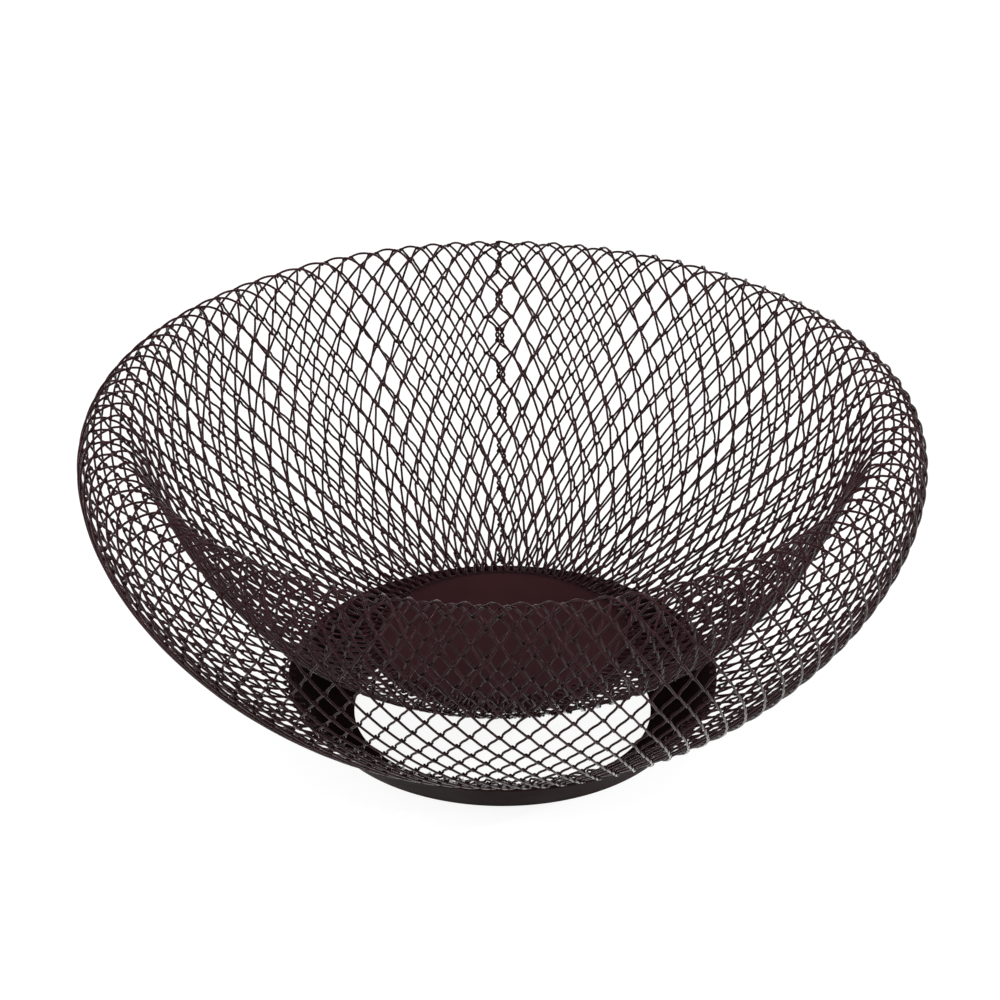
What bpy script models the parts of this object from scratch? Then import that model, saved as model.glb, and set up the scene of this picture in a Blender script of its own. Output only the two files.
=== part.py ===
"""Double-walled wire fruit basket, built up from the spirals that it is woven from.

One tube of wire fabric stands on a flared foot, climbs as the outer wall, rolls over the rim and
comes down again as the inner wall, where it ends on a round plate. The fabric is chain link: each
spiral is a flattened helix of wire that runs once round the basket, with its front legs on the
visible face and its back legs behind, and it hooks into the corners of the spirals beside it.

Metres, +Z up. The origin is on the basket's axis, at the height of the surface it stands on.
"""

import math

import bmesh
import bpy
import numpy as np

# Bowl, measured over the wires
BOWL_RADIUS = 0.150
BOWL_HEIGHT = 0.1235
WIDEST_DROP = 0.0195
CREST_INSET = 0.0145

# Wire fabric, coarser than the real one, with wire to match
WIRE_RADIUS = 0.0009
WIRE_SIDES = 3
HOOK_CLEARANCE = 0.0005
SPIRAL_COUNT = 16
DIAMOND_COUNT = 32
LEG_BEND = math.radians(32)

# Foot, a pressed dish with a hole in its floor, a flared side and a rolled edge
FOOT_RADIUS = 0.065
FOOT_FLOOR_WIDTH = 0.011
FOOT_FLARE = 0.0115
FOOT_HEIGHT = 0.0165
FOOT_SHEET = 0.0012
FOOT_BEND = 0.0024
FOOT_BEAD_SWELL = 0.0007

# Plate, a round tray with its edge turned down
PLATE_RADIUS = 0.048
PLATE_TOP = 0.0315
PLATE_SHEET = 0.0012
PLATE_BEND = 0.0006
PLATE_SKIRT = 0.0016

# Fits
TOUCH_GAP = 0.0003
FOOT_LAP = 0.0010
PLATE_LAP = 0.0035

# Steps round a turned piece, along an arc, along the rim, and between two outline points
ROUND_STEPS = 48
ARC_STEPS = 3
RIM_STEPS = 4
OUTLINE_STEPS = 24

# Rim's section, round at 2 and squarer above it
RIM_FULLNESS = 2.4

# Outline of each wall from its foot up, as shares of the way across and of the way up
OUTER_WALL_SHARES = ((0.0, 0.0), (0.26, 0.11), (0.52, 0.29), (0.72, 0.475), (0.87, 0.66), (0.967, 0.845))
INNER_WALL_SHARES = ((0.0, 0.0), (0.134, 0.034), (0.279, 0.095), (0.418, 0.179), (0.527, 0.272), (0.682, 0.462),
                     (0.79, 0.64), (0.852, 0.78), (0.888, 0.87), (0.924, 0.935), (0.956, 0.98))


def clear_scene():
    """Remove the objects that the file opened with."""
    for item in list(bpy.data.objects):
        bpy.data.objects.remove(item, do_unlink=True)


def make_material(name, colour, roughness, metallic):
    """Principled material with one colour."""
    material = bpy.data.materials.new(name)
    material.use_nodes = True
    shader = material.node_tree.nodes["Principled BSDF"]
    shader.inputs["Base Color"].default_value = (*colour, 1.0)
    shader.inputs["Roughness"].default_value = roughness
    shader.inputs["Metallic"].default_value = metallic
    material.diffuse_color = (*colour, 1.0)
    return material


def wire_lacquer():
    """Satin brown-black lacquer on the wire."""
    return make_material("wire_lacquer", (0.020, 0.014, 0.014), 0.38, 0.55)


def foot_lacquer():
    """Near-black lacquer on the pressed foot."""
    return make_material("foot_lacquer", (0.013, 0.010, 0.009), 0.45, 0.30)


def plate_lacquer():
    """Matt dark maroon lacquer on the plate."""
    return make_material("plate_lacquer", (0.031, 0.014, 0.015), 0.55, 0.20)


def add_body(name, points, faces, material):
    """Put a closed mesh into the scene, with its faces turned outward and its round sides smooth."""
    mesh = bpy.data.meshes.new(name)
    mesh.from_pydata([tuple(point) for point in points], [], faces)
    grid = bmesh.new()
    grid.from_mesh(mesh)
    bmesh.ops.recalc_face_normals(grid, faces=grid.faces)
    grid.to_mesh(mesh)
    grid.free()
    mesh.shade_smooth()
    mesh.set_sharp_from_angle(angle=math.radians(40))
    mesh.materials.append(material)
    body = bpy.data.objects.new(name, mesh)
    bpy.context.scene.collection.objects.link(body)
    return body


def ring_faces(rings, sides):
    """Quads between rings of points, with the last ring joined to the first."""
    ring, side = np.divmod(np.arange(rings * sides), sides)
    ahead = (ring + 1) % rings * sides
    beside = (side + 1) % sides
    return np.stack([ring * sides + side, ring * sides + beside, ahead + beside, ahead + side], axis=1).tolist()


def turned_body(name, section, material):
    """Turn a closed section of (radius, height) points once round the axis."""
    radius, height = np.array(section).T
    angle = np.arange(ROUND_STEPS) * 2 * math.pi / ROUND_STEPS
    across = np.outer(np.cos(angle), radius)
    along = np.outer(np.sin(angle), radius)
    up = np.broadcast_to(height, across.shape)
    points = np.stack([across, along, up], axis=2).reshape(-1, 3)
    return add_body(name, points, ring_faces(ROUND_STEPS, len(radius)), material)


def arc_points(centre, radius, start, end, steps):
    """Points on an arc from one angle to another, both ends included."""
    angle = np.linspace(start, end, steps + 1)
    return [(centre[0] + radius * math.cos(a), centre[1] + radius * math.sin(a)) for a in angle]


def wire_flat():
    """From the wire's middle to the flat of its section."""
    return WIRE_RADIUS * math.cos(math.pi / WIRE_SIDES)


def hook_reach():
    """Offset of a leg from the middle of the fabric, which clears a wire that crosses it slantwise."""
    return (2 * wire_flat() + HOOK_CLEARANCE) / math.sqrt(2)


def foot_sheet_corner():
    """Where the middle of the foot's floor would meet the middle of its side."""
    return FOOT_RADIUS, FOOT_SHEET / 2


def bead_radius():
    """Radius of the foot's rolled edge."""
    return FOOT_SHEET / 2 + FOOT_BEAD_SWELL


def bead_centre():
    """Middle of the foot's rolled edge."""
    return FOOT_RADIUS + FOOT_FLARE, FOOT_HEIGHT - bead_radius()


def between(low, high, shares):
    """Points at their shares of the way from a low point to a high point."""
    return np.array(low) + np.array(shares) * (np.array(high) - np.array(low))


def outline_points():
    """Points on the middle of the fabric, from the foot over the rim to the plate."""
    front = hook_reach() + WIRE_RADIUS
    back = hook_reach() + wire_flat()
    foot_end = (bead_centre()[0] - FOOT_LAP, FOOT_HEIGHT + TOUCH_GAP + front)
    widest = (BOWL_RADIUS - front, BOWL_HEIGHT - WIDEST_DROP)
    crest = (BOWL_RADIUS - CREST_INSET, BOWL_HEIGHT - front)
    plate_end = (PLATE_RADIUS - PLATE_LAP, PLATE_TOP + TOUCH_GAP + back)
    angle = np.linspace(0, math.pi / 2, RIM_STEPS + 1)
    swell = np.stack([np.cos(angle), np.sin(angle)], axis=1).clip(0) ** (2 / RIM_FULLNESS)
    rim = between((crest[0], widest[1]), (widest[0], crest[1]), swell)
    outer = between(foot_end, widest, OUTER_WALL_SHARES)
    inner = between(plate_end, crest, INNER_WALL_SHARES)
    return np.vstack([outer, rim, inner[::-1]])


def smooth_line(points):
    """Catmull-Rom curve through the points, its knots spaced by the square roots of the chords."""
    points = np.vstack([2 * points[0] - points[1], points, 2 * points[-1] - points[-2]])
    chords = np.linalg.norm(np.diff(points, axis=0), axis=1)
    knots = np.concatenate([[0], np.cumsum(np.sqrt(chords))])
    spans = []
    for i in range(1, len(points) - 2):
        t = np.linspace(knots[i], knots[i + 1], OUTLINE_STEPS, endpoint=False)[:, None]
        k = knots[i - 1:i + 3]
        p = points[i - 1:i + 3]
        a = [((k[j + 1] - t) * p[j] + (t - k[j]) * p[j + 1]) / (k[j + 1] - k[j]) for j in range(3)]
        b = [((k[j + 2] - t) * a[j] + (t - k[j]) * a[j + 1]) / (k[j + 2] - k[j]) for j in range(2)]
        spans.append(((k[2] - t) * b[0] + (t - k[1]) * b[1]) / (k[2] - k[1]))
    return np.vstack([*spans, points[-2:-1]])


class Outline:
    """The middle line of the fabric, read by its length from the foot."""

    def __init__(self):
        self.points = smooth_line(outline_points())
        steps = np.linalg.norm(np.diff(self.points, axis=0), axis=1)
        self.distance = np.concatenate([[0], np.cumsum(steps)])
        slope = np.gradient(self.points, self.distance, axis=0)
        self.heading = np.unwrap(np.arctan2(slope[:, 1], slope[:, 0]))

    def at(self, distance):
        """Radius, height and heading of the line at a distance."""
        radius = np.interp(distance, self.distance, self.points[:, 0])
        height = np.interp(distance, self.distance, self.points[:, 1])
        return radius, height, np.interp(distance, self.distance, self.heading)

    def on_fabric(self, azimuth, distance, offset):
        """Points offset from the middle of the fabric, towards its visible face, and the normals there."""
        radius, height, heading = self.at(distance)
        outward, upward = np.sin(heading), -np.cos(heading)
        reach = radius + offset * outward
        points = np.stack([reach * np.cos(azimuth), reach * np.sin(azimuth), height + offset * upward], axis=-1)
        normals = np.stack([outward * np.cos(azimuth), outward * np.sin(azimuth), upward], axis=-1)
        return points, normals


def rows_for_leg(outline, leg):
    """Distances of the rows of hooks, one leg of wire apart."""
    rows = [hook_reach()]
    for _ in range(SPIRAL_COUNT):
        half_width = math.pi * outline.at(rows[-1])[0] / DIAMOND_COUNT
        rows.append(rows[-1] + math.sqrt(max(leg ** 2 - half_width ** 2, 0)))
    return rows


def hook_rows(outline):
    """Rows of hooks that just fill the fabric, found by halving the range of the leg's length."""
    end = outline.distance[-1] - hook_reach()
    short, long = 0, end
    while long - short > end * np.finfo(float).eps * SPIRAL_COUNT:
        leg = (short + long) / 2
        if rows_for_leg(outline, leg)[-1] > end:
            long = leg
        else:
            short = leg
    return rows_for_leg(outline, short)


def spiral_legs(outline, low, high, shift):
    """Azimuth, distance and offset along each leg of a spiral, in (diamond, front or back, step) grids."""
    bend = abs(outline.at(high)[2] - outline.at(low)[2])
    share = np.linspace(0, 1, 2 + int(bend / LEG_BEND))
    pitch = 2 * math.pi / DIAMOND_COUNT
    high_turn = hook_reach() / outline.at(high)[0]
    low_turn = hook_reach() / outline.at(low)[0]
    crown = (np.arange(DIAMOND_COUNT)[:, None] + shift) * pitch
    run = share * (pitch / 2 - high_turn - low_turn)
    azimuth = np.stack([crown + high_turn + run, crown + pitch / 2 + low_turn + run], axis=1)
    fall = high + hook_reach() - share * (high - low + 2 * hook_reach())
    distance = np.broadcast_to(np.stack([fall, fall[::-1]]), azimuth.shape)
    offset = np.broadcast_to(np.array([hook_reach(), -hook_reach()])[:, None], azimuth.shape)
    return azimuth, distance, offset


def unit(vectors):
    """Vectors scaled to a length of one."""
    return vectors / np.linalg.norm(vectors, axis=-1, keepdims=True)


def wire_rings(points, normals, along):
    """Wire sections at each point, square to the leg but cut on the plane that halves the bend."""
    chord = unit(np.roll(points, -1, axis=0) - points)
    bisector = unit(chord + np.roll(chord, 1, axis=0))
    side = unit(np.cross(along, normals))
    lift = np.cross(side, along)
    angle = np.arange(WIRE_SIDES)[:, None] * 2 * math.pi / WIRE_SIDES
    spoke = WIRE_RADIUS * (np.cos(angle) * lift[:, None] + np.sin(angle) * side[:, None])
    slide = (spoke * bisector[:, None]).sum(axis=2) / (along * bisector).sum(axis=1)[:, None]
    return points[:, None] + spoke - slide[..., None] * along[:, None]


def make_spiral(name, outline, low, high, shift, material):
    """One spiral of the fabric, a closed ring of wire between two rows of hooks."""
    points, normals = outline.on_fabric(*spiral_legs(outline, low, high, shift))
    step = np.diff(points, axis=2)
    along = unit(np.concatenate([step[:, :, :1], step], axis=2))
    rings = wire_rings(points.reshape(-1, 3), normals.reshape(-1, 3), along.reshape(-1, 3))
    return add_body(name, rings.reshape(-1, 3), ring_faces(len(rings), WIRE_SIDES), material)


def make_spirals(material):
    """All spirals from the foot to the plate, each half a diamond round from the one before."""
    outline = Outline()
    rows = hook_rows(outline)
    for index in range(SPIRAL_COUNT):
        shift = 0.5 * ((index + 1) % 2)
        make_spiral(f"spiral_{index + 1:02d}", outline, rows[index], rows[index + 1], shift, material)
    print(f"fabric {outline.distance[-1] * 1000:.1f} mm long, rows {np.round(np.diff(rows) * 1000, 1).tolist()} mm")


def make_foot(material):
    """Pressed dish that the basket stands on."""
    half = FOOT_SHEET / 2
    corner, bead = foot_sheet_corner(), bead_centre()
    flare = math.atan2(bead[1] - corner[1], bead[0] - corner[0])
    middle = FOOT_BEND + half
    bend = (corner[0] - middle * math.tan(flare / 2), corner[1] + middle)
    low, high = -math.pi / 2, flare - math.pi / 2
    under = arc_points(bend, FOOT_BEND + FOOT_SHEET, low, high, ARC_STEPS)
    over = arc_points(bend, FOOT_BEND, high, low, ARC_STEPS)
    neck = math.pi - math.asin(half / bead_radius())
    edge = arc_points(bead, bead_radius(), flare - neck, flare + neck, 2 * ARC_STEPS)
    hole = FOOT_RADIUS - FOOT_FLOOR_WIDTH
    return turned_body("foot", [(hole, 0), *under, *edge, *over, (hole, FOOT_SHEET)], material)


def make_plate(material):
    """Round plate at the bottom of the bowl, closed in the middle, with its edge turned down."""
    shoulder = PLATE_BEND + PLATE_SHEET
    centre = (PLATE_RADIUS - shoulder, PLATE_TOP - shoulder)
    outer = arc_points(centre, shoulder, math.pi / 2, 0, ARC_STEPS)
    inner = arc_points(centre, PLATE_BEND, 0, math.pi / 2, ARC_STEPS)
    hem = centre[1] - PLATE_SKIRT
    section = [*outer, (PLATE_RADIUS, hem), (PLATE_RADIUS - PLATE_SHEET, hem), *inner]
    angle = np.arange(ROUND_STEPS) * 2 * math.pi / ROUND_STEPS
    points = [(r * math.cos(a), r * math.sin(a), h) for r, h in section for a in angle]
    wall = ring_faces(len(section), ROUND_STEPS)[:-ROUND_STEPS]
    rim = range(ROUND_STEPS)
    top = [(len(points), (i + 1) % ROUND_STEPS, i) for i in rim]
    last = len(points) - ROUND_STEPS
    under = [(len(points) + 1, last + i, last + (i + 1) % ROUND_STEPS) for i in rim]
    points += [(0, 0, PLATE_TOP), (0, 0, PLATE_TOP - PLATE_SHEET)]
    return add_body("plate", points, wall + top + under, material)


def build():
    """Make the whole basket."""
    clear_scene()
    make_spirals(wire_lacquer())
    make_foot(foot_lacquer())
    make_plate(plate_lacquer())


build()
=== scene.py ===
# %% [markdown]
# # A fruit basket woven from wire
#
# The basket is a round bowl with two walls. One tube of chain-link fabric stands on a flared foot,
# climbs as the outer wall, rolls over the rim and comes down again as the inner wall, where its last
# row lies on a round plate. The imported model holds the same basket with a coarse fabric, light
# enough for a physics engine. This lesson keeps its sizes and weaves the fine fabric over them.
#
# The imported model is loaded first, and its box is kept, so that the finished basket can be held
# against it at the end. Every length below is in metres.

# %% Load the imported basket
import math

import bpy
import numpy as np
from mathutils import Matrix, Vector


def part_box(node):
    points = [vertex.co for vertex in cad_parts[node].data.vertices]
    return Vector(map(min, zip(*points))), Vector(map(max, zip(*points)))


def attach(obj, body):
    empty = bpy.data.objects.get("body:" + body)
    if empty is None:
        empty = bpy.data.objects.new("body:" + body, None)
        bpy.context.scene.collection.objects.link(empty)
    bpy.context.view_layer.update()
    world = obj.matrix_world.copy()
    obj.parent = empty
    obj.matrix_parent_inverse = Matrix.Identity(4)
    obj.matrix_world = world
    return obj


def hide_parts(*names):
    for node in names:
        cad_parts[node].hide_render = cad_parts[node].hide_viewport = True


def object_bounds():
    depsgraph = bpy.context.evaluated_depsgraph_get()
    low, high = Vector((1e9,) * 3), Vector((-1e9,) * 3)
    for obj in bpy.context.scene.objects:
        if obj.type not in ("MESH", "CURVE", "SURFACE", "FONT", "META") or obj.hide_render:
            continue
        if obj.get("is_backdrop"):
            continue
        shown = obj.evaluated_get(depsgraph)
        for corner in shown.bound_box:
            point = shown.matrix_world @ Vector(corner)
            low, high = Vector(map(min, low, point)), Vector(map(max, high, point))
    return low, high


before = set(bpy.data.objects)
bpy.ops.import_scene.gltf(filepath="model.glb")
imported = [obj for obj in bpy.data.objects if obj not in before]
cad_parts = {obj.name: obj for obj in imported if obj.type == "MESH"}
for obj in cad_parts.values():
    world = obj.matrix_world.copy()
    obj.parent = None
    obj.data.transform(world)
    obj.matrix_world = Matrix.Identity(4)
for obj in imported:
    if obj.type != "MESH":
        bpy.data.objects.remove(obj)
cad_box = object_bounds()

MM = 0.001
print("packed basket, mm:", [round(side / MM, 2) for side in cad_box[1] - cad_box[0]])

# %% [markdown]
# ## The wire and the sizes that everything hangs on
#
# The real wire is about 0.85 mm thick. Where two spirals hook into each other, each wire turns round
# the other one: it goes a little beyond the hook's middle, a little to its side, and stands a little
# off the fabric, in front and then behind. These three distances decide how loose the weave is, and
# each is at least half a wire, or the legs of the two wires would run through each other. The foot,
# the plate and the whole bowl give the other sizes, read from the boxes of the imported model.

# %% Sizes of the wire, and the ends of the fabric
WIRE_RADIUS = 0.43 * MM
BEYOND = 0.43 * MM     # past the middle of a hook
ASIDE = 0.43 * MM      # to its side
STAND_OFF = 0.43 * MM  # off the fabric, in front or behind
REACH = STAND_OFF + WIRE_RADIUS
TOUCH = 0.3 * MM       # air between the wires and what they lie on
SLACK = 0.05 * MM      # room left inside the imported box

bowl_top = cad_box[1].z
bowl_radius = cad_box[1].x
foot_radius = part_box("foot")[1].x
foot_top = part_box("foot")[1].z
plate_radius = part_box("plate")[1].x
plate_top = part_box("plate")[1].z
for title, radius, top in (("bowl", bowl_radius, bowl_top), ("foot", foot_radius, foot_top),
                           ("plate", plate_radius, plate_top)):
    print(f"{title}: radius {radius / MM:.1f} mm, top at {top / MM:.1f} mm")

# %% [markdown]
# ## The fabric's section
#
# Cut the basket through its axis and the fabric is one curve: up the outer wall, over the rim, down
# the inner wall. It could be a curve with handles, drawn by hand, but a handful of corners given as
# shares of the way up and across are easier to hold against a photograph, one at a time. A smooth
# curve then goes through all of them without kinks, and the rim is a quarter of a superellipse,
# because the real rim is a bit squarer than a circle.

# %% Curve through the corners
OUTER_WALL = np.array([(0.0, 0.0), (0.26, 0.11), (0.52, 0.29), (0.72, 0.475), (0.87, 0.66), (0.967, 0.845)])
INNER_WALL = np.array([(0.0, 0.0), (0.134, 0.028), (0.279, 0.087), (0.418, 0.173), (0.527, 0.268),
                       (0.682, 0.462), (0.79, 0.64), (0.852, 0.78), (0.888, 0.87), (0.924, 0.935),
                       (0.956, 0.98)])
RIM_FULLNESS = 2.4
FOOT_INSET = 2.3 * MM      # from the foot's edge in to the first hooks
PLATE_INSET = 3.5 * MM     # from the plate's edge in to the last hooks
WIDEST_DROP = 19.55 * MM   # from the top down to the widest place
CREST_INSET = 13.95 * MM   # from the widest place in to the top of the rim

foot_end = np.array([foot_radius - FOOT_INSET, foot_top + TOUCH + REACH])
plate_end = np.array([plate_radius - PLATE_INSET, plate_top + TOUCH + REACH])
widest = np.array([bowl_radius - REACH - SLACK, bowl_top - WIDEST_DROP])
crest = np.array([bowl_radius - CREST_INSET, bowl_top - REACH - SLACK])


def smooth_curve(corners, steps=24):
    """Curve through the corners. Every point of a span is a blend of the four corners round it, made
    in three rounds of straight blends, with knots spaced by the square roots of the chords."""
    ends = np.vstack([2 * corners[0] - corners[1], corners, 2 * corners[-1] - corners[-2]])
    knots = np.concatenate([[0], np.cumsum(np.sqrt(np.linalg.norm(np.diff(ends, axis=0), axis=1)))])
    span = np.arange(1, len(ends) - 2)
    p = [ends[span + i][:, None] for i in (-1, 0, 1, 2)]
    k = [knots[span + i][:, None, None] for i in (-1, 0, 1, 2)]
    t = k[1] + (k[2] - k[1]) * np.linspace(0, 1, steps, endpoint=False)[:, None]
    a = [((k[i + 1] - t) * p[i] + (t - k[i]) * p[i + 1]) / (k[i + 1] - k[i]) for i in range(3)]
    b = [((k[i + 2] - t) * a[i] + (t - k[i]) * a[i + 1]) / (k[i + 2] - k[i]) for i in range(2)]
    c = ((k[2] - t) * b[0] + (t - k[1]) * b[1]) / (k[2] - k[1])
    return np.vstack([c.reshape(-1, 2), corners[-1:]])


angle = np.linspace(0, math.pi / 2, 5)
swell = np.stack([np.cos(angle), np.sin(angle)], axis=1).clip(0) ** (2 / RIM_FULLNESS)
rim = np.array([crest[0], widest[1]]) + swell * (widest - crest) * np.array([1, -1])
corners = np.vstack([foot_end + OUTER_WALL * (widest - foot_end), rim,
                     plate_end + INNER_WALL[::-1] * (crest - plate_end)])
section = smooth_curve(corners)
print("corners:", len(corners), "points on the curve:", len(section))

# %% [markdown]
# ## Reading the section by its length
#
# Rows of hooks are spaced along the fabric, not by height, so the curve is read by the distance
# from the foot. The heading is the way the curve points there. A quarter turn from it is the way
# off the fabric on the side that is seen: outward below, upward on the rim, into the bowl inside.

# %% Radius, height and heading at a distance from the foot
travel = np.concatenate([[0], np.cumsum(np.linalg.norm(np.diff(section, axis=0), axis=1))])
slope = np.gradient(section, travel, axis=0)
heading = np.unwrap(np.arctan2(slope[:, 1], slope[:, 0]))


def fabric_radius(distance):
    """Radius of the fabric's middle at a distance along the section."""
    return np.interp(distance, travel, section[:, 0])


def on_fabric(azimuth, distance, offset):
    """Point at an azimuth and a distance, moved off the fabric by the offset: radius and height come
    from the section, and the offset goes a quarter turn to the right of the heading."""
    turn = np.interp(distance, travel, heading)
    radius = fabric_radius(distance) + offset * np.sin(turn)
    height = np.interp(distance, travel, section[:, 1]) - offset * np.cos(turn)
    return np.stack([radius * np.cos(azimuth), radius * np.sin(azimuth), height], axis=-1)


print(f"fabric from foot to plate: {travel[-1] / MM:.1f} mm")

# %% [markdown]
# ## Rows of hooks
#
# Thirty-eight spirals lie one above the other, each with ninety-three diamonds. A spiral is wound
# on one flat bar, so all of its legs are as long as each other, and the fabric can only follow a
# wider part of the bowl by pulling its diamonds wide and low. That is why rows are close together
# at the rim and far apart at the plate: the row step is the third side of the triangle whose long
# side is the leg and whose short side is half a diamond. The rows seen in the photograph fit best
# with half a step at either end, as if the first and the last spiral were pressed flat against the
# foot and the plate; how they are really held can't be seen. The leg's length is found by halving its
# range until the last row lands on the end of the fabric.

# %% Distances of the rows
SPIRALS = 38
DIAMONDS = 93
END_STEP = 0.5
pitch = 2 * math.pi / DIAMONDS


def rows_for_leg(leg):
    """Row distances one leg apart: step = root of leg squared less half a diamond squared, and half
    of that for the first and the last spiral."""
    rows = [BEYOND]
    for index in range(SPIRALS):
        half_diamond = fabric_radius(rows[-1]) * pitch / 2
        step = math.sqrt(max(leg ** 2 - half_diamond ** 2, 0))
        rows.append(rows[-1] + step * (END_STEP if index in (0, SPIRALS - 1) else 1))
    return np.array(rows)


short, long = 0.0, travel[-1]
while long - short > 1e-7:
    leg = (short + long) / 2
    short, long = (short, leg) if rows_for_leg(leg)[-1] > travel[-1] - BEYOND else (leg, long)
rows = rows_for_leg(short)
steps = np.diff(rows) / MM
print(f"leg {short / MM:.2f} mm, row steps {steps.min():.1f} to {steps.max():.1f} mm")

# %% [markdown]
# ## Where each hook has wandered to
#
# Wire fabric is never even. When the basket is shaped by hand, whole patches of hooks slide round it
# by a degree or two, at most by about three, and climb or sink by up to three wire thicknesses. A
# noise texture could fake this, but then the two wires of a hook would part. Here the slides are two
# tables, with a row for every quarter of the fabric from the foot to the plate and a column for each
# of eighteen places round it. Every hook reads its own slide between them, adds slow waves and a
# small random step, and keeps that one place for both of its spirals. The first and last rows don't
# climb, since they rest on the foot and the plate.
#
# The numbers of the first table came from a program that shifted a drawing of the hooks until it lay
# on the photograph; they were rounded, and its front columns changed. The second table was set by
# comparing the two pictures patch by patch. A basket that need not match a photograph can do without
# both, and keep only the waves and the random steps.

# %% Slides of the fabric, in degrees round the basket and in millimetres along it
TABLE_ROWS = np.array([1, 10, 19, 28, 37])
TABLE_DEGREES = np.array([-150, -125, -105, -90, -75, -55, -30, 5, 25, 40, 55, 72.5, 90, 107.5, 125,
                          140, 155, 175])
TABLE_STEP = 0.487  # degrees, about an eighth of a diamond
SLIDE_ROUND = TABLE_STEP * np.array([
    [-2.0, -1.1, -1.3, -1.3, -1.0, -1.2, -1.6, -3.9, -3.3, -2.1, -1.6, -0.1, 1.6, 0.3, 1.0, 2.1, 3.3, -0.8],
    [-1.0, -0.8, -0.7, -0.6, -0.4, -0.6, -2.0, -4.0, -5.5, -3.5, -1.1, 0.1, 1.2, 1.4, 1.8, 2.0, 2.9, 1.5],
    [1.0, 0.2, -0.5, -0.5, -0.4, -0.4, -1.2, -1.9, -0.1, -0.5, -2.1, 0.4, 1.5, -0.1, 2.0, 2.3, 1.4, 2.1],
    [2.9, 0.7, -0.9, -1.4, -1.4, -1.5, -1.8, -3.6, -2.9, -1.9, -0.6, 0.0, -0.7, 1.2, 2.6, 3.6, 5.4, 6.5],
    [3.1, 0.9, -0.5, -1.2, -1.4, -1.5, -1.8, -2.3, -0.9, -0.3, -0.3, 0.8, -0.4, 0.9, 2.3, 3.2, 4.6, 5.8]])
SLIDE_ALONG = MM * np.array([
    [0.0] * len(TABLE_DEGREES),
    [0.8, 0.5, 0.2, 0.0, -0.6, -1.0, 0.0, 0.0, 0.0, 0.0, 0.0, 0.0, 0.0, 0.0, 0.0, 0.0, 0.0, 0.4],
    [0.0, 0.0, 0.0, 0.0, 0.0, 0.0, 0.0, 0.0, 0.0, -0.4, -0.4, -0.4, -0.5, -1.8, -1.6, -1.8, -1.8, -0.8],
    [0.0, 0.0, 0.0, 0.0, 0.0, 0.0, 0.0, -0.8, -0.4, -0.4, -0.5, -0.5, -0.6, -1.4, -2.1, -2.2, -2.4, -1.5],
    [0.0, 0.0, 0.0, 0.0, 0.0, 0.0, 0.0, -0.4, -0.3, -0.3, -0.3, -0.2, 0.0, 0.6, 0.4, 0.0, -0.6, -0.6]])


def slide_at(table, azimuth, row):
    """Slide at a place and row: straight lines between the table's columns, which go round in a
    circle, and then between its rows, which hold their value before the first and after the last."""
    columns = np.radians(TABLE_DEGREES)
    by_row = np.stack([np.interp(azimuth, columns, line, period=2 * math.pi) for line in table])
    below = (np.searchsorted(TABLE_ROWS, row) - 1).clip(0, len(TABLE_ROWS) - 2)
    share = ((row - TABLE_ROWS[below]) / np.diff(TABLE_ROWS)[below]).clip(0, 1)
    lower, upper = (np.take_along_axis(by_row, (below + step)[None], axis=0)[0] for step in (0, 1))
    return (1 - share) * lower + share * upper


# %% Azimuth and distance of every hook
rng = np.random.default_rng(38)
row_of, place_of = np.meshgrid(np.arange(SPIRALS + 1), np.arange(DIAMONDS), indexing="ij")
WAVES = 7
WAVE_SWELL = 1.9  # makes up for waves that partly cancel each other
SWAY = 0.14 * MM
JITTER_ROUND = 0.13 * MM
JITTER_ALONG = 0.12 * MM


def wander(jitter):
    """Mean of seven slow waves over rows and places, times the sway, plus a random step that stays
    within two of its sizes."""
    waves = np.sin(place_of[..., None] * pitch * rng.integers(2, 10, WAVES)
                   + row_of[..., None] * rng.uniform(-0.7, 0.7, WAVES) + rng.uniform(0, 2 * math.pi, WAVES))
    step = rng.normal(0, jitter, row_of.shape).clip(-2 * jitter, 2 * jitter)
    return SWAY * waves.mean(axis=-1) * WAVE_SWELL + step


half_step = 0.5 * (row_of % 2 == 0)
even_azimuth = math.pi / 2 + (place_of + half_step) * pitch
hook_azimuth = even_azimuth + np.radians(slide_at(SLIDE_ROUND, even_azimuth, row_of))
hook_azimuth += wander(JITTER_ROUND) / fabric_radius(rows)[:, None]
middle_rows = ((row_of > 0) & (row_of < SPIRALS)).astype(float)
slide_along = slide_at(SLIDE_ALONG, even_azimuth, row_of) + wander(JITTER_ALONG)
hook_distance = rows[:, None] + slide_along * middle_rows
greatest = np.degrees(np.abs(hook_azimuth - even_azimuth)).max()
print(f"hooks: {hook_azimuth.size}, greatest slide {greatest:.1f} degrees")

# %% [markdown]
# ## The path of one wire
#
# A spiral is a helix pressed flat. Its front legs fall along the visible face, its back legs rise
# behind it, and at every hook it makes half a turn. The front legs are pulled straight, while the
# back legs low on the outer wall keep some of the helix: they are steep beside the hooks and flatter
# half way. A wave taken off the azimuth does that; it fades towards the rim, where the fabric is
# stretched, and is left out in front. Nine points make a leg: the tip of the turn, a point at 45
# degrees on either side, and six along the leg. One function lays every leg.

# %% Nine points from the tip of one turn to the tip of the next
turn_angle = np.radians([0, 45, 90, 90, 90, 90, 90, 90, 45])
leg_share = np.array([0, 0, 0, 1, 2, 3, 4, 5, 5]) / 5
BEND_ROWS = (12, 18)  # the bend of the back legs fades between these rows
BACK_BENDS = (0.85, 0.15)


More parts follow.
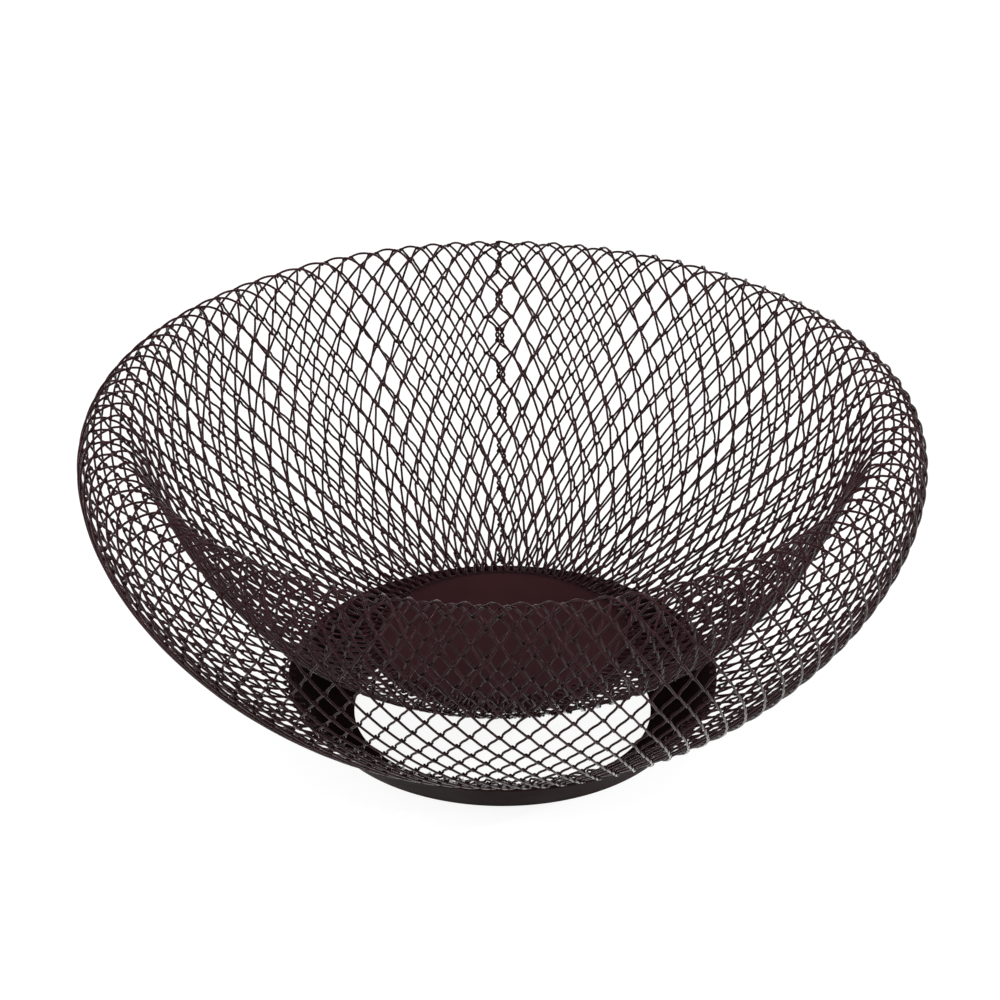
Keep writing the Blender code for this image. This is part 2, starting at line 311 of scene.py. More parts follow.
def leg_points(start, end, way, face, bend):
    """Leg from one row of hooks to the next. Round a hook the wire is a cosine beyond the row, a sine
    off the fabric, and moves evenly to the side. Along the leg the azimuth's share is the distance's
    share less the bend times a sine of one whole turn, divided by that turn. The way is 1 from a
    high row to a low one, and the face is 1 in front and -1 behind."""
    sideways = ASIDE * turn_angle / (math.pi / 2)
    beyond = way * BEYOND * np.cos(turn_angle)
    across = leg_share - bend * np.sin(2 * math.pi * leg_share) / (2 * math.pi)
    azimuth = ((1 - across) * (start[0][:, None] + sideways / fabric_radius(start[1])[:, None])
               + across * (end[0][:, None] - sideways / fabric_radius(end[1])[:, None]))
    distance = (1 - leg_share) * (start[1][:, None] + beyond) + leg_share * (end[1][:, None] - beyond)
    offset = np.broadcast_to(face * STAND_OFF * np.sin(turn_angle), azimuth.shape)
    return np.stack([azimuth, distance, offset], axis=-1)


# %% [markdown]
# The wires were closed into rings one hook above the other, down the back of the basket, where the
# ends of two neighbours are twisted together on every second row. The two turns that would meet
# there stop short of each other and leave room for the twist. Everywhere else the two turns of a
# hook lie a hair to either side of its middle, until the front legs of the two spirals lie wire
# against wire, so that they read as long straight wires.

# %% Hooks of a row, as one of its two spirals sees them
KNOT_HALF = 2.6 * MM


def lean_at(row):
    """Sideways shift of a turn: the side step times 1 less (root of 1 plus the slope squared, less 1)
    over the slope, where a leg's slope is the row step over half a diamond."""
    slope = np.gradient(rows)[row] / (fabric_radius(rows[row]) * pitch / 2)
    return ASIDE * (1 - (math.hypot(1, slope) - 1) / slope)


def hooks(row, ahead, side):
    """Azimuth and distance of a row's hooks from a number of hooks ahead, once round. Side is 1 for
    the spiral above the row and -1 for the one below: their turns lean apart sideways, and they
    leave the twist at the seam free."""
    azimuth = np.concatenate([hook_azimuth[row, ahead:], hook_azimuth[row, :ahead] + 2 * math.pi])
    azimuth += side * lean_at(row) / fabric_radius(rows[row])
    distance = hook_distance[row].copy()
    distance[0] += side * KNOT_HALF * (row % 2)
    return azimuth, np.roll(distance, -ahead)


def spiral_path(index):
    """Azimuth, distance and offset along one spiral, which hangs between two rows of hooks."""
    high, next_high = hooks(index + 1, 0, -1), hooks(index + 1, 1, -1)
    low = hooks(index, index % 2, 1)
    front = leg_points(high, low, 1, 1, 0.0)
    bend = np.interp(index, BEND_ROWS, BACK_BENDS)
    back = leg_points(low, next_high, -1, -1, bend)
    return np.concatenate([front, back], axis=1).reshape(-1, 3)


print("points along one spiral:", len(spiral_path(0)), "lean at the rim and the plate, mm:",
      [round(lean_at(row) / MM, 2) for row in (SPIRALS // 2, SPIRALS)])

# %% [markdown]
# ## From a path to a wire
#
# A curve object with a bevel would give a round wire too, but its rings twist on a path that turns
# this sharply, and it has to be converted to a mesh. Placing the rings is short: the wire never runs
# level round the basket, so the level direction is a safe start for the first spoke of every ring,
# and the second spoke is square to both. Eight sides are enough for a wire that is three pixels
# thick. The signed volume shows that the faces point outward, and gives the steel used.

# %% Tube round a path
SIDES = 8


def unit(vectors):
    """Vectors scaled to a length of one."""
    return vectors / np.linalg.norm(vectors, axis=-1, keepdims=True)


def tube_grid(points, level, radius, closed=True):
    """Rings round a path. Each ring is the path's point plus a radius times the cosine of one spoke
    and the sine of the other; spokes are square to the path, and the first is as level as it can be."""
    if closed:
        along = unit(np.roll(points, -1, axis=0) - np.roll(points, 1, axis=0))
    else:
        along = unit(np.gradient(points, axis=0))
    first = unit(level - (level * along).sum(axis=1, keepdims=True) * along)
    second = np.cross(along, first)
    turn = np.arange(SIDES)[:, None] * 2 * math.pi / SIDES
    return points[:, None] + radius * (np.cos(turn) * first[:, None] + np.sin(turn) * second[:, None])


def grid_faces(rings, sides, closed):
    """Quads between neighbouring rings of a grid, with the last ring joined to the first if closed."""
    ring, side = np.divmod(np.arange((rings if closed else rings - 1) * sides), sides)
    ahead = (ring + 1) % rings * sides
    beside = (side + 1) % sides
    return np.stack([ring * sides + side, ring * sides + beside, ahead + beside, ahead + side], axis=1)


def signed_volume(points, faces):
    """Sum over triangles of corner times the cross product of the other two, a sixth of it."""
    a, b, c, d = (points[faces[:, i]] for i in range(4))
    return (np.cross(a, b) * c).sum() / 6 + (np.cross(a, c) * d).sum() / 6


# %% [markdown]
# ## Putting a grid into the scene
#
# Every piece of the basket goes through the same few lines: the mesh is filled in one go, shaded
# smooth, given the rub attribute that the lacquer reads and hung on the body it rides on, and the
# nodes of the imported model that it stands for are hidden.

# %% Mesh from points, faces and rub
def add_piece(name, points, faces, rub, nodes):
    """Piece of the basket from whole arrays. Rub is how exposed each point is, from 0 to 1."""
    mesh = bpy.data.meshes.new(name)
    mesh.from_pydata(points, [], faces)
    mesh.shade_smooth()
    mesh.attributes.new("rub", "FLOAT", "POINT").data.foreach_set("value", rub.astype(np.float32))
    piece = bpy.data.objects.new(name, mesh)
    bpy.context.scene.collection.objects.link(piece)
    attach(piece, "root")
    if nodes:
        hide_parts(*nodes)
    return piece


# %% [markdown]
# ## Which packed spiral a fine spiral stands for
#
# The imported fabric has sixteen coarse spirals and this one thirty-eight, so two or three fine ones
# stand for each coarse one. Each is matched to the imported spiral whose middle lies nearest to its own.

# %% Middle radius and height of every packed spiral
packed_names = sorted(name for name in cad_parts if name.startswith("spiral_"))


def middle_of(name):
    """Middle of a packed spiral's radius and of its height."""
    mesh = bpy.data.objects[name].data
    points = np.empty(len(mesh.vertices) * 3)
    mesh.vertices.foreach_get("co", points)
    points = points.reshape(-1, 3)
    return np.hypot(points[:, 0], points[:, 1]).mean(), points[:, 2].mean()


packed_middles = np.array([middle_of(name) for name in packed_names])
print("packed spirals:", len(packed_names))

# %% [markdown]
# ## Weaving
#
# Now each spiral gets its path, its rings and its faces. One long mesh for the whole fabric would be
# quicker, but then no wire could be picked out later. The rub is 1 at the tips of the turns, where
# wire lies on wire and the lacquer wears, and 0 along the legs.

# %% Weave the thirty-eight spirals
spirals = []
steel = 0.0
wire_length = 0.0
stood_for = set()
for index in range(SPIRALS):
    path = spiral_path(index)
    points = on_fabric(*path.T)
    level = np.stack([-np.sin(path[:, 0]), np.cos(path[:, 0]), np.zeros(len(path))], axis=1)
    grid = tube_grid(points, level, WIRE_RADIUS)
    faces = grid_faces(len(points), SIDES, True)
    steel += signed_volume(grid.reshape(-1, 3), faces)
    wire_length += np.linalg.norm(np.diff(points, axis=0, append=points[:1]), axis=1).sum()
    tips = np.repeat(1 - np.abs(path[:, 2]) / STAND_OFF, SIDES)
    middle = np.array([np.hypot(points[:, 0], points[:, 1]).mean(), points[:, 2].mean()])
    node = packed_names[int(np.linalg.norm(packed_middles - middle, axis=1).argmin())]
    stood_for.add(node)
    name = f"wire_spiral_{index + 1:02d}"
    spirals.append(add_piece(name, grid.reshape(-1, 3), faces, tips, [node]))
print(f"{len(spirals)} spirals, {wire_length:.1f} m of wire, {steel * 1e6:.1f} cm3 of steel, "
      f"{len(stood_for)} of {len(packed_names)} packed spirals covered")

# %% [markdown]
# ## The twists that close the wires
#
# On every second row, at the back, the ends of two spirals are twisted together. Each twist is two
# strands that wind round each other: one strand's path goes round the middle of the seam on a small
# circle while it climbs, and the other is the same path half a turn behind. Both ends are closed
# with a small fan, so that the strands are solid.

# %% Two strands wound round each other
KNOT_TURNS = 1.3
KNOT_ROUND = 0.6 * MM
KNOT_INSET = KNOT_ROUND + WIRE_RADIUS - REACH
KNOT_OVERLAP = 1.15  # how far a strand runs past the spirals' turns
KNOT_STEPS = 26
KNOT_RUB = 0.5


def strand(row, lead):
    """Points of a strand: the seam's place at the row, plus a circle a little wider than a wire's
    radius that turns steadily as the strand climbs. It ends a little past the spirals' turns, and
    is pushed back until it stands no prouder than the fabric."""
    climb = np.linspace(-1, 1, KNOT_STEPS)
    turn = lead + climb * KNOT_TURNS * math.pi
    distance = hook_distance[row, 0] + climb * KNOT_HALF * KNOT_OVERLAP
    azimuth = hook_azimuth[row, 0] + KNOT_ROUND * np.cos(turn) / fabric_radius(distance)
    return on_fabric(azimuth, distance, KNOT_ROUND * np.sin(turn) - KNOT_INSET)


def capped_faces(rings, sides):
    """Quads of an open tube and a fan of triangles on each end, round two added middle points."""
    side = np.arange(sides)
    beside = (side + 1) % sides
    first, last = rings * sides, rings * sides + 1
    start = np.stack([beside, side, np.full(sides, first)], axis=1)
    end = (rings - 1) * sides + np.stack([side, beside], axis=1)
    end = np.column_stack([end, np.full(sides, last)])
    return grid_faces(rings, sides, False).tolist() + start.tolist() + end.tolist()


seam_knots = []
for row in range(1, SPIRALS, 2):
    both = []
    faces = []
    for lead in (0.0, math.pi):
        points = strand(row, lead)
        level = np.broadcast_to(np.array([-1.0, 0.0, 0.0]), points.shape)
        grid = tube_grid(points, level, WIRE_RADIUS, closed=False).reshape(-1, 3)
        count = sum(len(part) for part in both)
        faces += [[corner + count for corner in face] for face in capped_faces(len(points), SIDES)]
        both.append(np.vstack([grid, points[:1], points[-1:]]))
    cloud = np.vstack(both)
    rub = np.full(len(cloud), KNOT_RUB)
    seam_knots.append(add_piece(f"seam_knot_{row:02d}", cloud, faces, rub, []))
print("seam knots:", len(seam_knots))

# %% [markdown]
# ## The foot
#
# The foot is one pressed ring of sheet: a flat floor that the basket stands on, a side that flares
# out at about fifty degrees, and a rolled edge that carries the fabric. Its closed section is drawn
# once, point by point round the sheet, and turned about the axis. A screw modifier does the same,
# but whole arrays also give each point its rub for the lacquer: the more, the nearer it lies to the
# outermost line of the rolled edge or to the heel that the foot stands on.

# %% Section of the foot
FOOT_SHEET = 1.2 * MM
FOOT_BEND = 2.4 * MM     # inner radius of the bend from floor to side
FOOT_BEAD = 1.3 * MM     # radius of the rolled edge
FOOT_FLARE = 12.8 * MM   # from the foot's edge in to where side and floor would meet
FLOOR_WIDTH = 11.0 * MM  # from there in to the hole
foot_floor = np.array([foot_radius - FOOT_FLARE, FOOT_SHEET / 2])
foot_bead = np.array([foot_radius - FOOT_BEAD, foot_top - FOOT_BEAD])


def arc(centre, radius, start, end, steps):
    """Points on an arc: the centre plus the radius times the cosine and sine of each angle."""
    angle = np.linspace(start, end, steps + 1)[:, None]
    return np.array(centre) + radius * np.hstack([np.cos(angle), np.sin(angle)])


flare = math.atan2(*(foot_bead - foot_floor)[::-1])
bend_middle = FOOT_BEND + FOOT_SHEET / 2
bend = foot_floor + np.array([-bend_middle * math.tan(flare / 2), bend_middle])
neck = math.pi - math.asin(FOOT_SHEET / 2 / FOOT_BEAD)
hole = foot_floor[0] - FLOOR_WIDTH
# Rounded to a nanometre, so that no point lies under the floor by a rounding error.
foot_section = np.vstack([
    arc((hole + FOOT_SHEET / 2, FOOT_SHEET / 2), FOOT_SHEET / 2, math.pi / 2, 1.5 * math.pi, 6),
    arc(bend, FOOT_BEND + FOOT_SHEET, -math.pi / 2, flare - math.pi / 2, 8),
    arc(foot_bead, FOOT_BEAD, flare - neck, flare + neck, 16),
    arc(bend, FOOT_BEND, flare - math.pi / 2, -math.pi / 2, 8)]).round(9)
print("points round the foot's section:", len(foot_section))

# %% Turn the foot
ROUND = 192
HEEL_SHARE = 0.8


def turned_grid(profile):
    """Profile turned about the axis: radius times the cosine and sine of the azimuth, and height."""
    azimuth = 2 * math.pi * np.arange(ROUND)[:, None] / ROUND
    radius, height = profile.T
    flat = [radius * np.cos(azimuth), radius * np.sin(azimuth)]
    return np.stack([*flat, np.broadcast_to(height, flat[0].shape)], axis=-1).reshape(-1, 3)


EDGE_REACH = 1.2 * MM
HEEL_REACH = 1.5 * MM


def rub_near(profile, spot, reach):
    """Rub of a profile's points: e to the minus square of the distance from the spot over the reach."""
    return np.exp(-((profile - np.array(spot)) ** 2).sum(axis=1) / reach ** 2)


bead_rub = rub_near(foot_section, (foot_radius, foot_bead[1]), EDGE_REACH)
heel_rub = rub_near(foot_section, (foot_floor[0], 0), HEEL_REACH)
foot_rub = np.tile(bead_rub + HEEL_SHARE * heel_rub, ROUND)
foot_points = turned_grid(foot_section)
foot_faces = grid_faces(ROUND, len(foot_section), True)[:, ::-1]
foot_volume = signed_volume(foot_points, foot_faces)
foot = add_piece("pressed_foot", foot_points, foot_faces, foot_rub, ["foot"])
print(f"foot {foot_volume * 1e6:.1f} cm3 of steel")

# %% [markdown]
# ## The plate
#
# The plate closes the bottom of the bowl, and the last row of hooks lies on it. It is a thin round
# tray whose edge is turned down. It is turned like the foot, except that its section reaches the
# axis, so the innermost ring is closed with a fan round a middle point, on top and underneath.

# %% Section of the plate
PLATE_SHEET = 1.2 * MM
PLATE_BEND = 0.6 * MM    # inner radius of the bend
PLATE_SKIRT = 1.6 * MM   # height of the straight part that hangs down
HUB_SHARE = 0.04         # where the innermost ring lies, as a share of the way out
shoulder = PLATE_SHEET + PLATE_BEND
hem = np.array([plate_radius - shoulder, plate_top - shoulder])
skirt = hem[1] - PLATE_SKIRT
spread = np.linspace(HUB_SHARE, 1, 12)[:, None]
plate_section = np.vstack([
    spread * np.array([hem[0], 0]) + np.array([0, plate_top]),
    arc(hem, shoulder, math.pi / 2, 0, 8)[1:],
    np.array([[plate_radius, skirt], [plate_radius - PLATE_SHEET, skirt]]),
    arc(hem, PLATE_BEND, 0, math.pi / 2, 5),
    spread[::-1][1:] * np.array([hem[0], 0]) + np.array([0, plate_top - PLATE_SHEET])])
print("points round the plate's section:", len(plate_section))

# %% Turn the plate and close its middle
plate_points = turned_grid(plate_section)
sides = len(plate_section)
ring = np.arange(ROUND)
quads = grid_faces(ROUND, sides, True)
quads = quads[quads[:, 0] % sides != sides - 1]
top_fan = np.stack([ring * sides, (ring + 1) % ROUND * sides, np.full(ROUND, len(plate_points))], axis=1)
under_fan = np.stack([(ring + 1) % ROUND * sides + sides - 1, ring * sides + sides - 1,
                      np.full(ROUND, len(plate_points) + 1)], axis=1)
plate_points = np.vstack([plate_points, [[0, 0, plate_top], [0, 0, plate_top - PLATE_SHEET]]])
shoulder_rub = rub_near(plate_section, (plate_radius, plate_top), EDGE_REACH)
plate_rub = np.append(np.tile(shoulder_rub, ROUND), [0.0, 0.0])
plate = add_piece("bowl_plate", plate_points, quads.tolist() + top_fan.tolist() + under_fan.tolist(),
                  plate_rub, ["plate"])
print("plate faces:", len(plate.data.polygons))

# %% [markdown]
# ## Two effects that all three lacquers share
#
# The basket is dipped in lacquer, which is never one even colour: it pools a little, and its skin is
# faintly grained. Along edges that hands and fruit rub it wears thin. Both effects are node groups,
# built once and placed in each material with its own values, so the three finishes stay related.

# %% A node group from its sockets
def new_group(name, inputs, outputs):
    """Empty shader group with named sockets, and its two end nodes."""
    group = bpy.data.node_groups.new(name, "ShaderNodeTree")
    for label, kind, value in inputs:
        socket = group.interface.new_socket(label, in_out="INPUT", socket_type=kind)
        if value is not None:
            socket.default_value = value
    for label, kind in outputs:
        group.interface.new_socket(label, in_out="OUTPUT", socket_type=kind)
    return group, group.nodes.new("NodeGroupInput"), group.nodes.new("NodeGroupOutput")


def noise_in(tree, detail, roughness):
    """Noise texture node in a tree."""
    noise = tree.nodes.new("ShaderNodeTexNoise")
    noise.inputs["Detail"].default_value = detail
    noise.inputs["Roughness"].default_value = roughness
    return noise


def ramp_in(tree, low, high):
    """Smooth step from 0 at one value to 1 at another."""
    ramp = tree.nodes.new("ShaderNodeMapRange")
    ramp.interpolation_type = "SMOOTHSTEP"
    ramp.inputs["From Min"].default_value = low
    ramp.inputs["From Max"].default_value = high
    return ramp


# %% Lacquer skin: tone and grain
skin_group, skin_in, skin_out = new_group(
    "lacquer_skin",
    [("Position", "NodeSocketVector", None), ("Pool Scale", "NodeSocketFloat", 60.0),
     ("Grain Scale", "NodeSocketFloat", 1500.0)],
    [("Tone", "NodeSocketFloat"), ("Grain", "NodeSocketFloat")])
pools = noise_in(skin_group, detail=3.0, roughness=0.55)
grain = noise_in(skin_group, detail=2.0, roughness=0.6)
pool_ramp = ramp_in(skin_group, low=0.34, high=0.66)
skin_group.links.new(skin_in.outputs["Position"], pools.inputs["Vector"])
skin_group.links.new(skin_in.outputs["Pool Scale"], pools.inputs["Scale"])
skin_group.links.new(skin_in.outputs["Position"], grain.inputs["Vector"])
skin_group.links.new(skin_in.outputs["Grain Scale"], grain.inputs["Scale"])
skin_group.links.new(pools.outputs["Fac"], pool_ramp.inputs["Value"])
skin_group.links.new(pool_ramp.outputs["Result"], skin_out.inputs["Tone"])
skin_group.links.new(grain.outputs["Fac"], skin_out.inputs["Grain"])
print("lacquer skin nodes:", len(skin_group.nodes))

# %% Rubbed edge: where the lacquer is worn
rub_group, rub_in, rub_out = new_group(
    "rubbed_edge",
    [("Position", "NodeSocketVector", None), ("Rub", "NodeSocketFloat", 0.0),
     ("Patch Scale", "NodeSocketFloat", 220.0), ("Wear", "NodeSocketFloat", 0.5)],
    [("Bare", "NodeSocketFloat")])
patches = noise_in(rub_group, detail=4.0, roughness=0.65)
exposed = rub_group.nodes.new("ShaderNodeMath")
exposed.operation = "MULTIPLY"
broken = rub_group.nodes.new("ShaderNodeMath")
broken.operation = "ADD"
bare_ramp = ramp_in(rub_group, low=0.72, high=1.05)
rub_group.links.new(rub_in.outputs["Position"], patches.inputs["Vector"])
rub_group.links.new(rub_in.outputs["Patch Scale"], patches.inputs["Scale"])
rub_group.links.new(rub_in.outputs["Rub"], exposed.inputs[0])
rub_group.links.new(rub_in.outputs["Wear"], exposed.inputs[1])
rub_group.links.new(exposed.outputs["Value"], broken.inputs[0])
rub_group.links.new(patches.outputs["Fac"], broken.inputs[1])
rub_group.links.new(broken.outputs["Value"], bare_ramp.inputs["Value"])
rub_group.links.new(bare_ramp.outputs["Result"], rub_out.inputs["Bare"])
print("rubbed edge nodes:", len(rub_group.nodes))

# %% [markdown]
# ## The three lacquers
#
# Wire, foot and plate were dipped separately. The wire is a smooth brown-black that mirrors little,
# except where it is seen nearly end-on and flashes silvery, and the plate is a matt dark maroon. The
# foot is almost black: its tones are partly a lacquer of its own and partly painted shade, set darker
# than the plate's so that its band looks shaded. The sheen of all three is faintly mauve. All three
# are the same recipe: a dark and a light tone mixed by the pools, a rubbed tone over them, roughness
# that follows the pools, and a bump from the grain. What is the same all over a piece, such as how
# much it reflects, is set on the shader itself.

# %% Recipe of a lacquer
SHEEN_TINT = (1.0, 0.64, 0.68)
BARE_METAL = 0.6      # how metallic the most worn places are
GRAIN_STRENGTH = 0.5


def mix_colour(tree, factor, first, second):
    """Colour mix whose two ends are colours or sockets."""
    mix = tree.nodes.new("ShaderNodeMix")
    mix.data_type = "RGBA"
    tree.links.new(factor, mix.inputs["Factor"])
    for label, value in (("A", first), ("B", second)):
        socket = next(item for item in mix.inputs if item.name == label and item.type == "RGBA")
        if isinstance(value, tuple):
            socket.default_value = (*value, 1.0)
        else:
            tree.links.new(value, socket)
    return next(item for item in mix.outputs if item.type == "RGBA")


def scaled(tree, value, low, high):
    """A value from 0 to 1 moved to another range."""
    node = tree.nodes.new("ShaderNodeMapRange")
    tree.links.new(value, node.inputs["Value"])
    node.inputs["To Min"].default_value = low
    node.inputs["To Max"].default_value = high
    return node.outputs["Result"]


def make_lacquer(name, dark, light, rubbed, rough, pool_scale, grain_scale, wear, bump, specular):
    """Lacquer from its dark and light tone, its rubbed tone, the range of its roughness, the scales
    of its pools and grain, how much it is worn, the depth of its grain and how much it reflects."""
    material = bpy.data.materials.new(name)
    material.use_nodes = True
    tree = material.node_tree
    shader = tree.nodes["Principled BSDF"]
    shader.inputs["Specular IOR Level"].default_value = specular
    shader.inputs["Specular Tint"].default_value = (*SHEEN_TINT, 1.0)
    position = tree.nodes.new("ShaderNodeTexCoord").outputs["Object"]
    rub = tree.nodes.new("ShaderNodeAttribute")
    rub.attribute_name = "rub"

    skin = tree.nodes.new("ShaderNodeGroup")
    skin.node_tree = skin_group
    tree.links.new(position, skin.inputs["Position"])
    skin.inputs["Pool Scale"].default_value = pool_scale
    skin.inputs["Grain Scale"].default_value = grain_scale

    edge = tree.nodes.new("ShaderNodeGroup")
    edge.node_tree = rub_group
    tree.links.new(position, edge.inputs["Position"])
    tree.links.new(rub.outputs["Fac"], edge.inputs["Rub"])
    edge.inputs["Wear"].default_value = wear

    tone = mix_colour(tree, skin.outputs["Tone"], dark, light)
    tree.links.new(mix_colour(tree, edge.outputs["Bare"], tone, rubbed), shader.inputs["Base Color"])
    tree.links.new(scaled(tree, edge.outputs["Bare"], 0.0, BARE_METAL), shader.inputs["Metallic"])
    tree.links.new(scaled(tree, skin.outputs["Tone"], *rough), shader.inputs["Roughness"])
    relief = tree.nodes.new("ShaderNodeBump")
    relief.inputs["Strength"].default_value = GRAIN_STRENGTH
    relief.inputs["Distance"].default_value = bump
    tree.links.new(skin.outputs["Grain"], relief.inputs["Height"])
    tree.links.new(relief.outputs["Normal"], shader.inputs["Normal"])
    return material


# %% Mix the lacquers and dip the pieces
wire_lacquer = make_lacquer(
    "wire_lacquer", dark=(0.0260, 0.0090, 0.0104), light=(0.0420, 0.0156, 0.0180),
    rubbed=(0.090, 0.072, 0.070), rough=(0.05, 0.12), pool_scale=55.0, grain_scale=2200.0,
    wear=0.35, bump=0.003 * MM, specular=0.12)
# The foot's dark and light tones are partly its own near-black lacquer and partly painted shade: they sit
# below the plate's maroon so that the foot's band looks shaded.
foot_lacquer = make_lacquer(
    "foot_lacquer", dark=(0.0150, 0.0072, 0.0072), light=(0.0215, 0.0098, 0.0098),
    rubbed=(0.026, 0.016, 0.014), rough=(0.50, 0.60), pool_scale=45.0, grain_scale=1400.0,
    wear=0.45, bump=0.03 * MM, specular=0.01)
plate_lacquer = make_lacquer(
    "plate_lacquer", dark=(0.0365, 0.0122, 0.0137), light=(0.0425, 0.0147, 0.0165),
    rubbed=(0.045, 0.024, 0.024), rough=(0.48, 0.60), pool_scale=30.0, grain_scale=1600.0,
    wear=0.35, bump=0.02 * MM, specular=0.08)
for piece in spirals + seam_knots:
    piece.data.materials.append(wire_lacquer)
foot.data.materials.append(foot_lacquer)
plate.data.materials.append(plate_lacquer)
print("lacquers:", wire_lacquer.name, foot_lacquer.name, plate_lacquer.name)

# %% [markdown]
# ## The floor
#
# In a studio the floor sweeps up behind the object and is lit until it is nearly white. Here the
# floor is a wide disc of its own, a hair below the foot. Its paint carries the shadow and throws only
# a little light up at the basket. For the camera and for reflections it also glows by what is missing
# to white, so the photograph's white ground and its faint shadow are both there.

# %% Floor disc
FLOOR_RADIUS = 9.0
FLOOR_CORNERS = 96
FLOOR_DROP = 0.1 * MM
floor_mesh = bpy.data.meshes.new("studio_floor")
floor_turn = np.arange(FLOOR_CORNERS) * 2 * math.pi / FLOOR_CORNERS
floor_points = np.stack([FLOOR_RADIUS * np.cos(floor_turn), FLOOR_RADIUS * np.sin(floor_turn),
                         np.full(FLOOR_CORNERS, -FLOOR_DROP)], axis=1)
floor_mesh.from_pydata(floor_points, [], [list(range(FLOOR_CORNERS))])
floor = bpy.data.objects.new("studio_floor", floor_mesh)
bpy.context.scene.collection.objects.link(floor)
floor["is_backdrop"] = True
print("floor disc:", len(floor_points), "corners")


# %% Paint that also glows for the camera
def seen_plainly(tree):
    """1 for rays from the camera, from a reflection or through glass, and 0 for diffuse light."""
    path = tree.nodes.new("ShaderNodeLightPath")
    seen = path.outputs["Is Camera Ray"]
    for label in ("Is Glossy Ray", "Is Transmission Ray"):
        either = tree.nodes.new("ShaderNodeMath")
        either.operation = "MAXIMUM"
        tree.links.new(seen, either.inputs[0])
        tree.links.new(path.outputs[label], either.inputs[1])
        seen = either.outputs["Value"]
    return seen


FLOOR_PAINT = 0.22
FLOOR_SHOWN = 1.11  # paint and glow together, a little over white
floor_paint = bpy.data.materials.new("studio_floor")
floor_paint.use_nodes = True
floor_tree = floor_paint.node_tree
floor_shader = floor_tree.nodes["Principled BSDF"]
floor_shader.inputs["Base Color"].default_value = (FLOOR_PAINT, FLOOR_PAINT, FLOOR_PAINT, 1)
floor_shader.inputs["Roughness"].default_value = 1.0
floor_shader.inputs["Specular IOR Level"].default_value = 0.0
floor_shader.inputs["Emission Color"].default_value = (1, 1, 1, 1)
glow = scaled(floor_tree, seen_plainly(floor_tree), 0.0, FLOOR_SHOWN - FLOOR_PAINT)
floor_tree.links.new(glow, floor_shader.inputs["Emission Strength"])
floor_mesh.materials.append(floor_paint)
print("floor paint nodes:", len(floor_tree.nodes))

# %% [markdown]
# ## Soft studio light
#
# The light is plain: more than half of it comes evenly from the world and the rest from two soft
# lamps, one on each side and a little in front. A third, small and weak, stands by the right one and
# gives the smooth wires their short bright dashes. The camera sees the world as plain white.
# Reflections see it as a studio, white near the floor and dim overhead, because dark wires that
# mirrored white from all sides would look grey. Only the ones seen nearly end-on catch the white low
# down.

# %% World
EVEN_LIGHT = 0.6
CEILING_RISE = (0.04, 0.32)  # heights of a reflected direction between which the studio dims
CEILING_LEVEL = 0.10
world = bpy.data.worlds.new("studio_world")
bpy.context.scene.world = world
world.use_nodes = True
sky = world.node_tree
background = sky.nodes["Background"]
background.inputs["Color"].default_value = (1, 1, 1, 1)
level = scaled(sky, seen_plainly(sky), EVEN_LIGHT, 1.0)
height = sky.nodes.new("ShaderNodeSeparateXYZ")
sky.links.new(sky.nodes.new("ShaderNodeTexCoord").outputs["Generated"], height.inputs["Vector"])
ceiling = ramp_in(sky, *CEILING_RISE)
ceiling.inputs["To Min"].default_value = 1.0
ceiling.inputs["To Max"].default_value = CEILING_LEVEL
sky.links.new(height.outputs["Z"], ceiling.inputs["Value"])
mirrored = sky.nodes.new("ShaderNodeMix")
sky.links.new(sky.nodes.new("ShaderNodeLightPath").outputs["Is Glossy Ray"], mirrored.inputs[0])
sky.links.new(level, mirrored.inputs[2])
sky.links.new(ceiling.outputs["Result"], mirrored.inputs[3])
sky.links.new(mirrored.outputs[0], background.inputs["Strength"])
print("world nodes:", len(sky.nodes))

# %% Lamps
BOWL_MIDDLE = 0.07
LAMPS = {"left_lamp": ((-1.6, -0.6, 1.1), 0.5, 14.0),
         "right_lamp": ((1.6, -0.6, 1.1), 0.5, 10.0),
         "spark_lamp": ((1.55, -0.75, 1.15), 0.06, 9.0)}  # place, side in metres, power in watts


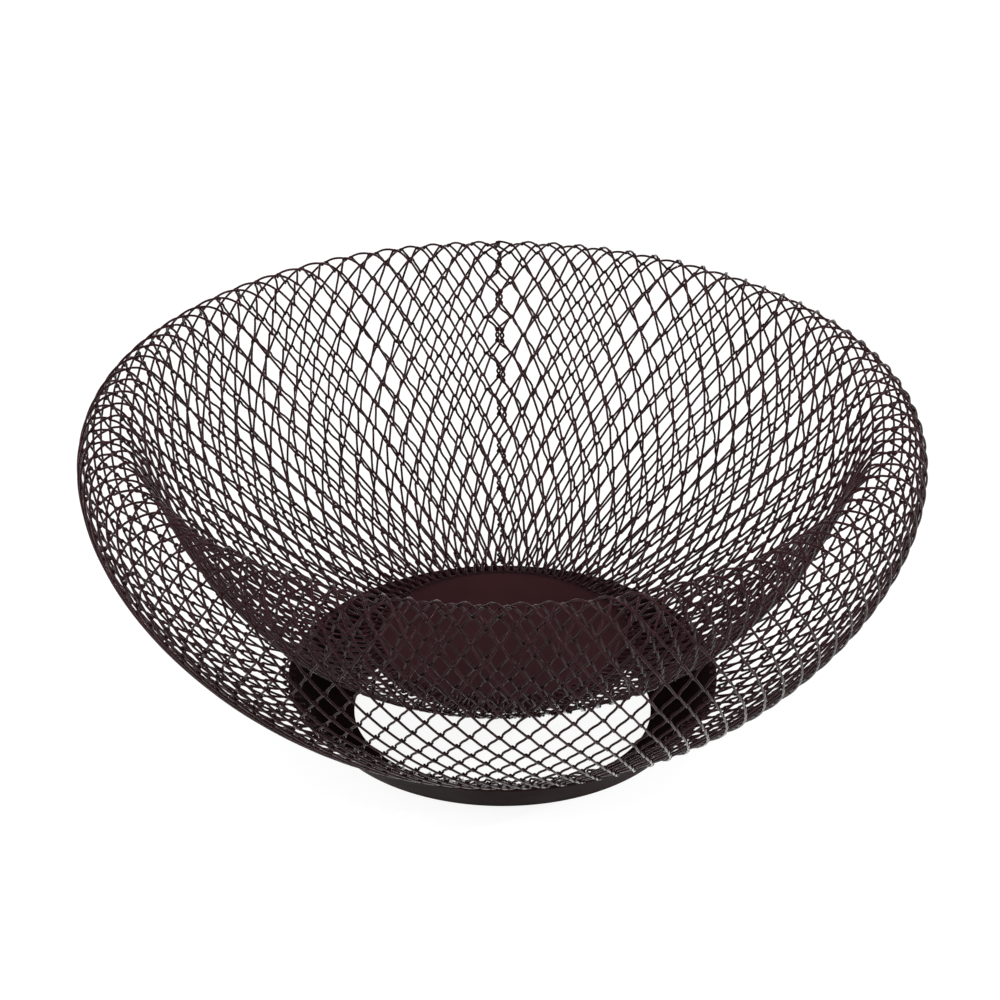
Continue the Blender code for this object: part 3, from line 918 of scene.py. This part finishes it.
def soft_lamp(name, place, size, power):
    """Square lamp that faces the middle of the bowl."""
    lamp = bpy.data.lights.new(name, "AREA")
    lamp.shape = "SQUARE"
    lamp.size = size
    lamp.energy = power
    lamp_object = bpy.data.objects.new(name, lamp)
    lamp_object.location = place
    aim = np.array([0, 0, BOWL_MIDDLE]) - np.array(place)
    sideways = math.atan2(aim[1], aim[0]) - math.pi / 2
    downward = math.atan2(math.hypot(aim[0], aim[1]), -aim[2])
    lamp_object.rotation_euler = (downward, 0, sideways)
    bpy.context.scene.collection.objects.link(lamp_object)
    return lamp_object


lamps = [soft_lamp(name, *values) for name, values in LAMPS.items()]
print("lamps:", [lamp.name for lamp in lamps])

# %% [markdown]
# ## The camera
#
# The view was fitted to the photograph: the ellipses of the foot, the plate and the rim give how far
# the camera looks down, and how much closer the rows are at the back than at the front gives how
# far away it stands. It looks straight at the basket from the front, a little less than 29 degrees
# down, with a long lens.

# %% Camera
LOOK_DOWN = math.radians(28.8)
LOOK_FROM = 1.420
LOOK_HEIGHT = 0.0871
LENS = 144.155
SENSOR = 36
SHIFT = -0.0025
camera_data = bpy.data.cameras.new("photo_camera")
camera = bpy.data.objects.new("photo_camera", camera_data)
bpy.context.scene.collection.objects.link(camera)
camera.location = (0, -LOOK_FROM * math.cos(LOOK_DOWN), LOOK_HEIGHT + LOOK_FROM * math.sin(LOOK_DOWN))
camera.rotation_euler = (math.pi / 2 - LOOK_DOWN, 0, 0)
camera_data.lens = LENS
camera_data.sensor_width = SENSOR
camera_data.shift_x = SHIFT
camera_data.clip_start = 0.05
bpy.context.scene.camera = camera
bpy.context.scene.view_settings.view_transform = "Standard"
print("camera at", [round(value, 4) for value in camera.location])

# %% [markdown]
# ## Measuring up
#
# The visual basket is meant to stay inside the imported one's box. Both boxes are written out side by side.

# %% Write both boxes and finish
bpy.context.view_layer.update()
scene_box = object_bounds()
boxes = {"cad": [list(corner) for corner in cad_box], "scene": [list(corner) for corner in scene_box]}
for title, box in boxes.items():
    print(f"{title} box, mm:", [[round(value / MM, 2) for value in corner] for corner in box])
